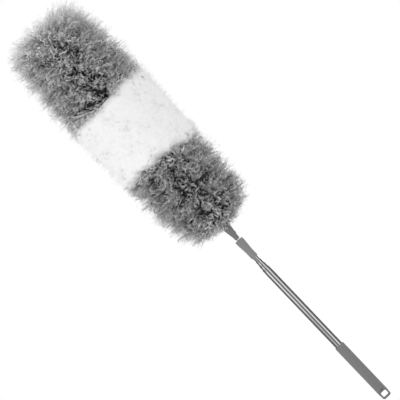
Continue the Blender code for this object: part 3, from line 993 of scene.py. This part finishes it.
@dataclass
class HeadShape:
    """The outline of the head, from its lower mouth to its tip, and the core inside it.

    Each of the ripples in a change of colour is (waves round the head, phase, share of the wave's height).
    """

    lower_change: float = 0.436
    upper_change: float = 0.561
    heights: tuple[float, ...] = (0.309, 0.310, 0.312, 0.315, 0.320, 0.330, 0.350, 0.385, 0.420, 0.445, 0.500,
                                  0.530, 0.560, 0.590, 0.660, 0.678, 0.690, 0.699, 0.706, 0.711, 0.7145, 0.7165)
    radii: tuple[float, ...] = (0.016, 0.036, 0.047, 0.056, 0.063, 0.0675, 0.0700, 0.0725, 0.0725, 0.0705, 0.0710,
                                0.0735, 0.0745, 0.0765, 0.0765, 0.0750, 0.0730, 0.0705, 0.0655, 0.056, 0.037, 0.008)
    margin: float = -0.0015
    end_margin: float = 0.001
    end_length: float = 0.05
    core_low: float = 0.309
    core_high: float = 0.675
    wave: float = 0.0018
    wave_reach: float = 0.035
    ripples: tuple[tuple[int, float, float], ...] = ((5, 1.0, 1.0), (11, 0.0, 1.0), (23, 2.0, 0.6))
    lower_sweep: Span = (-0.0075, -0.0060)
    upper_sweep: Span = (0.0055, 0.004)

    def outline(self) -> Array:
        """The outline of the dense fibres.

        Returns:
            Its (radius, z) points, from the lower mouth to the tip.
        """
        points = np.array([self.radii, self.heights]).T
        heading = unit(np.gradient(points, axis=0))
        margin = np.interp(points[:, 1], [self.heights[-1] - self.end_length, self.heights[-1]],
                           [self.margin, self.end_margin])[:, None]
        return points - margin * np.stack([heading[:, 1], -heading[:, 0]], 1)

    def lengths(self) -> Array:
        """The distance along the outline of each of its points."""
        steps = np.linalg.norm(np.diff(self.outline(), axis=0), axis=1)
        return np.concatenate([[0.0], np.cumsum(steps)])

    def distance(self, height: float) -> float:
        """The distance along the outline at which it is at a z."""
        return float(np.interp(height, self.outline()[:, 1], self.lengths()))

    def middle(self) -> float:
        """The z half-way up the white band."""
        return (self.lower_change + self.upper_change) / 2

    def at(self, distance: Array) -> tuple[Array, Array]:
        """The outline's radius and z at distances along it."""
        outline, lengths = self.outline(), self.lengths()
        return np.interp(distance, lengths, outline[:, 0]), np.interp(distance, lengths, outline[:, 1])

    def waver(self, angle: Array, height: Array) -> Array:
        """How much further up a colour changes.

        Args:
            angle: angles round the head.
            height: the z there, by which it follows the lower or the upper change.

        Returns:
            The rise at each, below 0 where the colour changes further down.
        """
        upper = np.clip((height - self.lower_change) / (self.upper_change - self.lower_change), 0, 1)
        bow, tilt = (low + (high - low) * upper for low, high in zip(self.lower_sweep, self.upper_sweep))
        ragged = sum(share * np.sin(waves * angle + phase) for waves, phase, share in self.ripples)
        return bow * np.cos(angle)**2 + tilt * np.cos(angle) + self.wave * ragged

    def root(self, height: Array) -> Array:
        """Where on the core the fibres that reach a place of the outline are held.

        Args:
            height: the z of the place.

        Returns:
            The z on the core.
        """
        low, high = self.outline()[[0, -1], 1]
        knots = [low, low + self.end_length, high - self.end_length, high]
        return np.interp(height, knots, [self.core_low, *knots[1:3], self.core_high])


@dataclass(frozen=True)
class Locks:
    """How one kind of fibre lies in the fluff.

    count: locks in a puff. gather: fibres in a lock. radius: a fibre's. spread: how far from its puff's middle a lock
    ends at most. width: how far a fibre strays from its lock. curl: the radius of its curl. curl_turn: the angle of
    the curl in radians. reach: how much further than the puff it ends, least and most. crimp: how far it wavers.
    shades: its darkest and lightest shade. end_share: the share of the locks that the head's end keeps.
    """

    count: int
    gather: int
    radius: float
    spread: float
    width: float
    curl: float
    curl_turn: float
    reach: Span
    crimp: float
    shades: Span
    end_share: float


@dataclass(frozen=True)
class Underlay:
    """One closed body below the fibres.

    low and high are the z of its ends, share is its radius as a share of the outline's, puff is how deep the creases
    between its puffs are, and sink is how far it is drawn in at its lower and its upper end.
    """

    name: str
    low: float
    high: float
    finish: UnderlayFinish
    bend: Bend
    share: float
    puff: float
    sink: Span = (0.0, 0.0)


@dataclass
class FluffHead:
    """The fibres of the three bands, gathered in puffs, and the underlay below them.

    puff_sizes, puff_lengths, puff_shades, fibre_lengths and mixing are deviations from the mean, and the limits cut
    them off. Any other pair that ends in s is the least and most of a random factor. A shade of 0 is dark.
    """

    shape: HeadShape
    seed: int = 11
    puff_spacing: float = 0.0175
    puff_jitter: float = 0.18
    puff_sizes: float = 0.1
    puff_size_limits: Span = (0.6, 1.4)
    puff_lengths: float = 0.03
    puff_length_limits: Span = (-2.0, 1.3)
    puff_shades: float = 0.1
    lean: float = 0.05
    mixing: float = 0.010
    mixing_limit: float = 1.4
    # Shades along the head: the lighter mouth and tip end are painted light, and the base band is darker than the tip
    # band.
    shade_changes: tuple[float, ...] = (0.4, 0.0, -0.6, -0.5, -0.25, -0.15, 1.0)
    lower_shading: Span = (0.04, 0.06)
    upper_shading: Span = (0.06, 0.02)
    # The curls' light shades are painted highlights, and the wisps' light shades painted light on the fluff's rims.
    brush: Locks = Locks(10, 5, 0.0004, 0.0100, 0.0009, 0.0018, 0.8, (-0.023, -0.010), 0.0004, (0.15, 1.0), 0.3)
    curls: Locks = Locks(5, 3, 0.0004, 0.0100, 0.0008, 0.0028, 2.7, (-0.016, -0.002), 0.0004, (0.9, 1.3), 0.4)
    wisps: Locks = Locks(34, 1, 0.0002, 0.0118, 0.0014, 0.004, 1.3, (-0.016, 0.004), 0.0009, (0.85, 1.0), 1.0)
    start_share: float = 0.53
    fibre_lengths: float = 0.035
    fibre_length_limits: Span = (-2.5, 1.4)
    thicknesses: Span = (0.75, 1.25)
    dome: float = 0.009
    thinning: float = 1.6
    end_outreach: float = 2.2
    curl_start: float = 0.6
    lock_curls: Span = (0.6, 1.4)
    lock_turns: Span = (0.7, 1.2)
    fibre_curls: Span = (0.75, 1.25)
    fibre_turns: Span = (0.8, 1.2)
    swerve: float = 0.5
    outward: float = 0.4
    gathering: float = 0.65
    splay: float = 0.35
    splay_power: float = 1.5
    shade_noise: float = 0.1
    shades: int = 48
    shade_width: float = 0.45
    map_margin: float = 0.01
    # Near the tip end the fibres start further up their map and leave out their dark foot: painted light on the head's
    # end.
    painted_light_length: float = 0.16
    painted_light_rise: float = 0.6
    painted_light_shares: Span = (0.7, 1.0)
    white_relief: float = 0.4
    white_edge: float = 0.018
    white_cover: float = -0.003
    piece_fibres: int = 5600
    grey_share: float = 0.62
    grey_crease: float = 0.008
    white_share: float = 0.965
    white_crease: float = 0.002
    white_sink: float = 0.012
    seam_sink: float = 0.002
    overlap: float = 0.004
    end_slope: float = 0.012
    end_share: float = 0.45
    end_gap: float = 0.0005
    crease_scale: float = 0.8
    crease_level: float = 0.3
    underlay_step: float = 0.002
    underlay_sides: int = 160
    underlay_sharp: float = 60.0

    def puffs(self, chance: np.random.Generator) -> dict[str, Array]:
        """Spreads the puffs evenly over the outline.

        Args:
            chance: the source of random numbers.

        Returns:
            Each puff's root, its way out and length, two directions across it, its distance along the outline, how
            much further up its colour changes, and its size, relief and shade.
        """
        shape, total = self.shape, self.shape.lengths()[-1]
        rows = int(total / self.puff_spacing)
        distance, angle = [], []
        for row in range(rows):
            along = (row + 0.5) / rows * total
            radius, _ = shape.at(np.array([along]))
            count = max(3, round(2 * math.pi * radius[0] / self.puff_spacing))
            turns, shifts = chance.uniform(-self.puff_jitter, self.puff_jitter, (2, count))
            angle.append((np.arange(count) + 0.5 * (row % 2) + turns) / count * 2 * math.pi)
            distance.append(along + shifts * self.puff_spacing)
        distance, angle = np.concatenate(distance), np.concatenate(angle)
        radius, height = shape.at(distance)
        across = np.stack([np.cos(angle), np.sin(angle), np.zeros_like(angle)], 1)
        side = np.stack([-np.sin(angle), np.cos(angle), np.zeros_like(angle)], 1)
        root = UP * shape.root(height)[:, None]
        way = across * radius[:, None] + UP * height[:, None] - root
        length = np.linalg.norm(way, axis=1)
        way = unit(way)
        lift = np.cross(way, side)
        low, high = shape.distance(shape.lower_change), shape.distance(shape.upper_change)
        waver = shape.waver(angle, height) + chance.normal(0, self.mixing / 2, len(angle))
        inside = np.minimum(distance - waver - low, high - distance + waver)
        relief = np.where(inside > 0, self.white_relief, 1.0)
        length *= 1 + scatter(chance, len(length), *self.puff_length_limits) * self.puff_lengths * relief
        way += (side * chance.normal(0, 1, (len(way), 1)) + lift * chance.normal(0, 1, (len(way), 1))) * self.lean
        size = np.clip(chance.normal(1, self.puff_sizes, len(angle)), *self.puff_size_limits)
        # Painted light: the puffs near the mouth and the tip end get lighter shades.
        changes = [0, *self.lower_shading, low, high, *(total - np.array(self.upper_shading))]
        shade = np.interp(distance - waver, changes, self.shade_changes)
        shade += chance.normal(0, self.puff_shades, len(angle))
        return {"root": root, "way": unit(way), "length": length, "side": side, "lift": lift, "distance": distance,
                "waver": waver, "size": size, "relief": relief, "shade": shade}

    def paths(self, chance: np.random.Generator, puffs: dict[str, Array], locks: Locks,
              places: Array) -> tuple[Array, Array, Array]:
        """Lays out the fibres of one kind, lock by lock and then fibre by fibre.

        Args:
            chance: the source of random numbers.
            puffs: the puffs.
            locks: the kind of fibre.
            places: the shares of a fibre's length at which it has a ring or its tip.

        Returns:
            The points of each fibre, its distance along the outline, by which it gets its colour, and its shade.
        """
        total, end = self.shape.lengths()[-1], self.shape.end_length
        puff = np.repeat(np.arange(len(puffs["distance"])), locks.count)
        kept = np.interp(puffs["distance"][puff], [total - end * self.thinning, total - end], [1.0, locks.end_share])
        puff = puff[chance.uniform(0, 1, len(puff)) < kept]
        made = len(puff)
        its = {key: values[puff] for key, values in puffs.items()}
        out = np.sqrt(chance.uniform(0, 1, made)) * its["size"]
        spin, stray = chance.uniform(0, 2 * math.pi, (2, made))
        relief = its["relief"]
        reach = its["length"] * (1 + scatter(chance, made, *self.fibre_length_limits) * self.fibre_lengths * relief)
        end_gain = np.interp(its["distance"], [total - end * 2, total], [1.0, self.end_outreach])
        shortest, longest = locks.reach[0] * relief, np.where(locks.reach[1] < 0, relief, 1.0) * locks.reach[1]
        reach += chance.uniform(shortest, longest) * end_gain - self.dome * relief * out**2
        curl = locks.curl * chance.uniform(*self.lock_curls, made)
        turn = locks.curl_turn * chance.uniform(*self.lock_turns, made)
        swerve = chance.normal(0, self.swerve, made)
        place = its["distance"] + np.sin(spin) * locks.spread * out - its["waver"]
        place += scatter(chance, made, -self.mixing_limit, self.mixing_limit) * self.mixing
        shade = chance.uniform(*locks.shades, made) + its["shade"]

        lock = np.repeat(np.arange(made), locks.gather)
        fibres = len(lock)
        root, way, side, lift = (its[key][lock] for key in ("root", "way", "side", "lift"))
        out, spin, stray, swerve = out[lock], spin[lock], stray[lock], swerve[lock]
        reach = reach[lock] * chance.normal(1, self.fibre_lengths / 2, fibres)
        curl = curl[lock] * chance.uniform(*self.fibre_curls, fibres)
        turn = turn[lock] * chance.uniform(*self.fibre_turns, fibres)
        across = side * np.cos(spin)[:, None] + lift * np.sin(spin)[:, None]
        aside = side * chance.normal(0, locks.width, (fibres, 1)) + lift * chance.normal(0, locks.width, (fibres, 1))
        curl_way = across * (self.outward + out[:, None])
        curl_way = curl_way + side * np.cos(stray)[:, None] + lift * np.sin(stray)[:, None]
        curl_way = unit(curl_way - way * (curl_way * way).sum(1, keepdims=True))
        twist = np.cross(way, curl_way) * swerve[:, None]
        points = []
        for share in places:
            straight = min(1.0, share / self.curl_start)
            angle = turn * max(0.0, (share - self.curl_start) / (1 - self.curl_start))
            low, high = reach * self.start_share, reach - curl
            depth = low + (high - low) * straight + curl * np.sin(angle)
            splay = self.splay + (1 - self.splay) * straight**self.splay_power
            point = root + way * depth[:, None] + aside * (1 - self.gathering * share)
            point += across * (locks.spread * out * splay)[:, None]
            point += (curl_way + twist * np.sin(angle / 2)[:, None]) * (curl * (1 - np.cos(angle)))[:, None]
            wave = chance.normal(0, locks.crimp, (fibres, 2)) * straight
            point += side * wave[:, :1] + lift * wave[:, 1:]
            points.append(point)
        shade = shade[lock] + chance.uniform(-self.shade_noise, self.shade_noise, fibres)
        return np.stack(points, 1), place[lock], shade

    def copy_fibres(self, name: str, pattern: Piece, places: Array, points: Array, thickness: Array, shades: Array,
                    rises: Array, chance: np.random.Generator) -> Piece:
        """Makes one piece of many copies of the fibre.

        Args:
            name: the piece's name.
            pattern: the fibre, upright and one unit high.
            places: the shares of its length where it has a ring or its tip.
            points: each copy's points at those shares.
            thickness: each copy's radius.
            shades: each copy's place across the map, from dark to light.
            rises: where up the map each copy starts, which leaves out its dark foot; near the head's end this is
                painted light.
            chance: the source of random numbers.

        Returns:
            The piece.
        """
        mesh = pattern.data
        corner = np.array([vertex.co for vertex in mesh.vertices])
        loops = np.array([loop.vertex_index for loop in mesh.loops])
        flat = np.array([loop.uv for loop in mesh.uv_layers[UV_MAP].data])
        starts = np.array([face.loop_start for face in mesh.polygons])
        ring = np.abs(corner[:, 2:] - places[None]).argmin(1)
        fibres = len(points)
        heading = unit(np.gradient(points, axis=1))
        first = np.empty_like(points)
        guess = np.cross(heading[:, 0], chance.normal(0, 1, (fibres, 3)))
        for n in range(points.shape[1]):
            guess = unit(guess - heading[:, n] * (guess * heading[:, n]).sum(1, keepdims=True))
            first[:, n] = guess
        second = np.cross(heading, first)
        place = points[:, ring] + thickness[:, None, None] * (
            first[:, ring] * corner[None, :, :1] + second[:, ring] * corner[None, :, 1:2])
        copies = np.arange(fibres)[:, None]
        made = bpy.data.meshes.new(name)
        made.vertices.add(fibres * len(corner))
        made.vertices.foreach_set("co", place.astype(np.float32).ravel())
        made.loops.add(fibres * len(loops))
        made.loops.foreach_set("vertex_index", (loops[None] + copies * len(corner)).astype(np.int32).ravel())
        made.polygons.add(fibres * len(starts))
        made.polygons.foreach_set("loop_start", (starts[None] + copies * len(loops)).astype(np.int32).ravel())
        cell = np.minimum(np.floor(np.clip(shades, 0, 1) * self.shades), self.shades - 1)
        u = (cell[:, None] + 0.5 + flat[None, :, 0] * self.shade_width) / self.shades
        v = (rises[:, None] + (1 - rises[:, None]) * flat[None, :, 1]) * (1 - 2 * self.map_margin) + self.map_margin
        layer = made.uv_layers.new(name=UV_MAP)
        layer.data.foreach_set("uv", np.stack([u, v], -1).astype(np.float32).ravel())
        made.update(calc_edges=True)
        piece = bpy.data.objects.new(name, made)
        bpy.context.scene.collection.objects.link(piece)
        return piece

    def build_underlay(self, layer: Underlay) -> Piece:
        """Turns one underlay to the outline, lets its ends waver and puffs it up.

        Args:
            layer: the underlay.

        Returns:
            The closed body.
        """
        shape, outline = self.shape, self.shape.outline()
        root, top = shape.root(outline[:, 1]), shape.heights[-1]
        share = np.interp(outline[:, 1], [top - 2 * shape.end_length, top],
                          [layer.share, min(layer.share, self.end_share)])
        inner = np.stack([outline[:, 0] * share, root + (outline[:, 1] - root) * share], 1)
        heights = np.linspace(max(layer.low, inner[0, 1] + self.end_gap), min(layer.high, inner[-1, 1] - self.end_gap),
                              max(4, round((layer.high - layer.low) / self.underlay_step)))
        radii = np.interp(heights, inner[:, 1], inner[:, 0])
        for end in (0, -1):
            gap = np.abs(heights - heights[end]) / self.end_slope
            radii -= layer.sink[end] * np.clip(1 - gap, 0, 1) ** 2
        profile = [(float(radius), float(z)) for radius, z in zip(radii, heights)]
        body = Workpiece(layer.name, self.underlay_sides).turn(profile, True)
        for vertex in body.data.vertices:
            near = min(abs(vertex.co.z - change) for change in (shape.lower_change, shape.upper_change))
            shift = shape.waver(math.atan2(vertex.co.y, vertex.co.x), vertex.co.z)
            vertex.co.z += max(0.0, 1 - near / shape.wave_reach) * float(shift)
        cells = bpy.data.textures.new(layer.name, "VORONOI")
        cells.noise_scale = self.puff_spacing * self.crease_scale
        cells.distance_metric = "DISTANCE_SQUARED"
        apply_modifier(body, "DISPLACE", texture=cells, texture_coords="GLOBAL", mid_level=self.crease_level,
                       strength=-layer.puff)
        return smooth(body, self.underlay_sharp)

    def dress_fibres(self, dresser: Dresser) -> None:
        """Builds and dresses the fibres, band by band and in pieces of a handy size.

        Of the white fibres only those near a change of colour and those that show above the underlay are kept.

        Args:
            dresser: what dresses the pieces.
        """
        shape, chance, fibre = self.shape, np.random.default_rng(self.seed), Fibre()
        pattern, places = fibre.build(), np.array([*fibre.rings, 1.0])
        puffs = self.puffs(chance)
        kinds = [(locks, *self.paths(chance, puffs, locks, places)) for locks in (self.brush, self.curls, self.wisps)]
        points, distance, shades = (np.concatenate([kind[n] for kind in kinds]) for n in (1, 2, 3))
        thickness = np.concatenate([np.full(len(kind[1]), kind[0].radius) for kind in kinds])
        thickness *= chance.uniform(*self.thicknesses, len(thickness))
        outline, total = shape.outline(), shape.lengths()[-1]
        # Painted light on the head's end: its fibres start further up the map.
        rises = np.interp(distance, [total - self.painted_light_length, total - self.painted_light_length / 3], [0.0, self.painted_light_rise])
        rises *= chance.uniform(*self.painted_light_shares, len(distance))
        low, middle, high = (shape.distance(z) for z in (shape.lower_change, shape.middle(), shape.upper_change))
        bands = [
            ("base_fibres", distance < low, GREY_FIBRE, LOWER_BEND, "base_fluff"),
            ("white_fibres_low", (distance >= low) & (distance < middle), WHITE_FIBRE, LOWER_BEND, "middle_fluff"),
            ("white_fibres_high", (distance >= middle) & (distance < high), WHITE_FIBRE, UPPER_BEND, "middle_fluff"),
            ("tip_fibres", distance >= high, GREY_FIBRE, UPPER_BEND, "tip_fluff"),
        ]
        for name, chosen, finish, bend, node in bands:
            order = np.flatnonzero(chosen)
            if finish is WHITE_FIBRE:
                edge = np.minimum(distance[order] - low, high - distance[order]) < self.white_edge
                tips = points[order, -1]
                cover = np.interp(tips[:, 2], outline[:, 1], outline[:, 0]) * self.white_share - self.white_cover
                order = order[edge | (np.hypot(tips[:, 0], tips[:, 1]) >= cover)]
            for number, share in enumerate(np.array_split(order, math.ceil(len(order) / self.piece_fibres)), 1):
                piece = self.copy_fibres(f"{name}_{number}", pattern, places, points[share], thickness[share],
                                         shades[share], rises[share], chance)
                dresser.fit(piece, finish, bend, node)
        bpy.data.objects.remove(pattern, do_unlink=True)

    def dress_underlays(self, dresser: Dresser) -> None:
        """Builds and dresses the underlays. The white ones overlap, and are drawn in under the grey fibres.

        Args:
            dresser: what dresses the pieces.
        """
        low, middle, high = self.shape.lower_change, self.shape.middle(), self.shape.upper_change
        grey_fluff, white_fluff = (self.grey_share, self.grey_crease), (self.white_share, self.white_crease)
        for layer in (
            Underlay("base_underlay", self.shape.heights[0], low, GREY_UNDERLAY, LOWER_BEND, *grey_fluff),
            Underlay("white_underlay_low", low + self.overlap, middle + self.overlap, WHITE_UNDERLAY, LOWER_BEND,
                     *white_fluff, (self.white_sink, 0.0)),
            Underlay("white_underlay_high", middle - self.overlap, high - self.overlap, WHITE_UNDERLAY, UPPER_BEND,
                     *white_fluff, (self.seam_sink, self.white_sink)),
            Underlay("tip_underlay", high, self.shape.heights[-1], GREY_UNDERLAY, UPPER_BEND, *grey_fluff),
        ):
            dresser.fit(self.build_underlay(layer), layer.finish, layer.bend)

    def dress(self, dresser: Dresser) -> None:
        """Builds and dresses all fibres and underlays."""
        self.dress_fibres(dresser)
        self.dress_underlays(dresser)


@dataclass(frozen=True)
class Lamp:
    """One soft square lamp, which points at the middle of the duster."""

    name: str
    place: Place
    power: float
    size: float


@dataclass
class Studio:
    """A pale floor, a white surround, soft lamps and the camera."""

    aim: Span = (-0.0006, 0.35475)
    distance: float = 5.0
    field: float = 0.6
    roll: float = 43.6
    sensor: float = 36.0
    sight: float = 100.0
    floor_radius: float = 30.0
    floor_gap: float = 0.0002
    surround: float = 0.75
    shadow_share: float = 0.08
    floor_glow: float = 1.03
    bounces: int = 10
    lamps: tuple[Lamp, ...] = (Lamp("left_lamp", (-2.2, -1.3, 1.8), 20.0, 2.2),
                               Lamp("right_lamp", (1.5, -2.2, 0.9), 10.5, 2.2),
                               Lamp("top_lamp", (0.0, 0.9, 2.8), 12.0, 1.6))

    def build(self) -> None:
        """Sets up the whole studio.

        The light bounces often enough to reach into white fluff.
        """
        self.add_floor()
        self.add_world()
        self.add_lamps()
        self.add_camera()
        bpy.context.scene.cycles.diffuse_bounces = self.bounces
        bpy.context.scene.view_settings.view_transform = "Standard"

    def add_floor(self) -> None:
        """Lays the floor just below the grip's end. It is white and keeps a light shadow."""
        bpy.ops.object.select_all(action="DESELECT")
        bpy.ops.mesh.primitive_circle_add(vertices=64, radius=self.floor_radius, fill_type="NGON",
                                          location=(0, 0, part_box("hand_grip")[0].z - self.floor_gap))
        floor = bpy.context.object
        floor.name = "studio_floor"
        surface = Surface(bpy.data.materials.new("studio_floor"))
        surface.finish(Base_Color=grey(0.95), Roughness=0.9, Specular_IOR_Level=0.0)
        white = surface.node("ShaderNodeEmission", {}, {"Color": grey(1.0), "Strength": self.floor_glow})
        matt = Value(surface, surface.shader.outputs[0])
        mixed = surface.node("ShaderNodeMixShader", {},
                             {0: surface.direct() * (1.0 - self.shadow_share), 1: matt, 2: white})
        surface.connect(surface.tree.nodes["Material Output"].inputs[0], mixed)
        floor.data.materials.append(surface.owner)

    def add_world(self) -> None:
        """Surrounds the scene with white, dimmer where it lights matt surfaces."""
        bpy.context.scene.world = bpy.data.worlds.new("studio_surround")
        surface = Surface(bpy.context.scene.world, "Background")
        surface.finish(Color=grey(1.0), Strength=surface.direct() * (1.0 - self.surround) + self.surround)

    def add_lamps(self) -> None:
        """Hangs the large soft lamps, one on each side in front of the duster and one above it."""
        for lamp in self.lamps:
            light = bpy.data.lights.new(lamp.name, "AREA")
            light.energy, light.size = lamp.power, lamp.size
            hung = bpy.data.objects.new(lamp.name, light)
            bpy.context.scene.collection.objects.link(hung)
            hung.location = lamp.place
            hung.rotation_euler = (Vector((0, 0, self.aim[1])) - hung.location).to_track_quat("-Z", "Y").to_euler()

    def add_camera(self) -> None:
        """Sets the camera level with the middle of the duster, turned so that the head is at the upper left."""
        data = bpy.data.cameras.new("camera")
        data.sensor_width = self.sensor
        data.lens = self.sensor * self.distance / self.field
        data.clip_end = self.sight
        camera = bpy.data.objects.new("camera", data)
        bpy.context.scene.collection.objects.link(camera)
        level = Matrix.Rotation(math.pi / 2, 4, "X")
        tilt = Matrix.Rotation(math.radians(-self.roll), 4, "Z")
        camera.matrix_world = Matrix.Translation((self.aim[0], -self.distance, self.aim[1])) @ level @ tilt
        bpy.context.scene.camera = camera


def main() -> None:
    """Builds the sub-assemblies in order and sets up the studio."""
    logging.basicConfig(level=logging.INFO, format="%(message)s")
    dresser = Dresser()
    for part in (HandGrip(), Pole(), Coupling(), Neck(), WireCore(), FluffHead(HeadShape())):
        part.dress(dresser)
    Studio().build()
    LOG.info("%d pieces dressed", dresser.count)


if __name__ == "__main__":
    main()
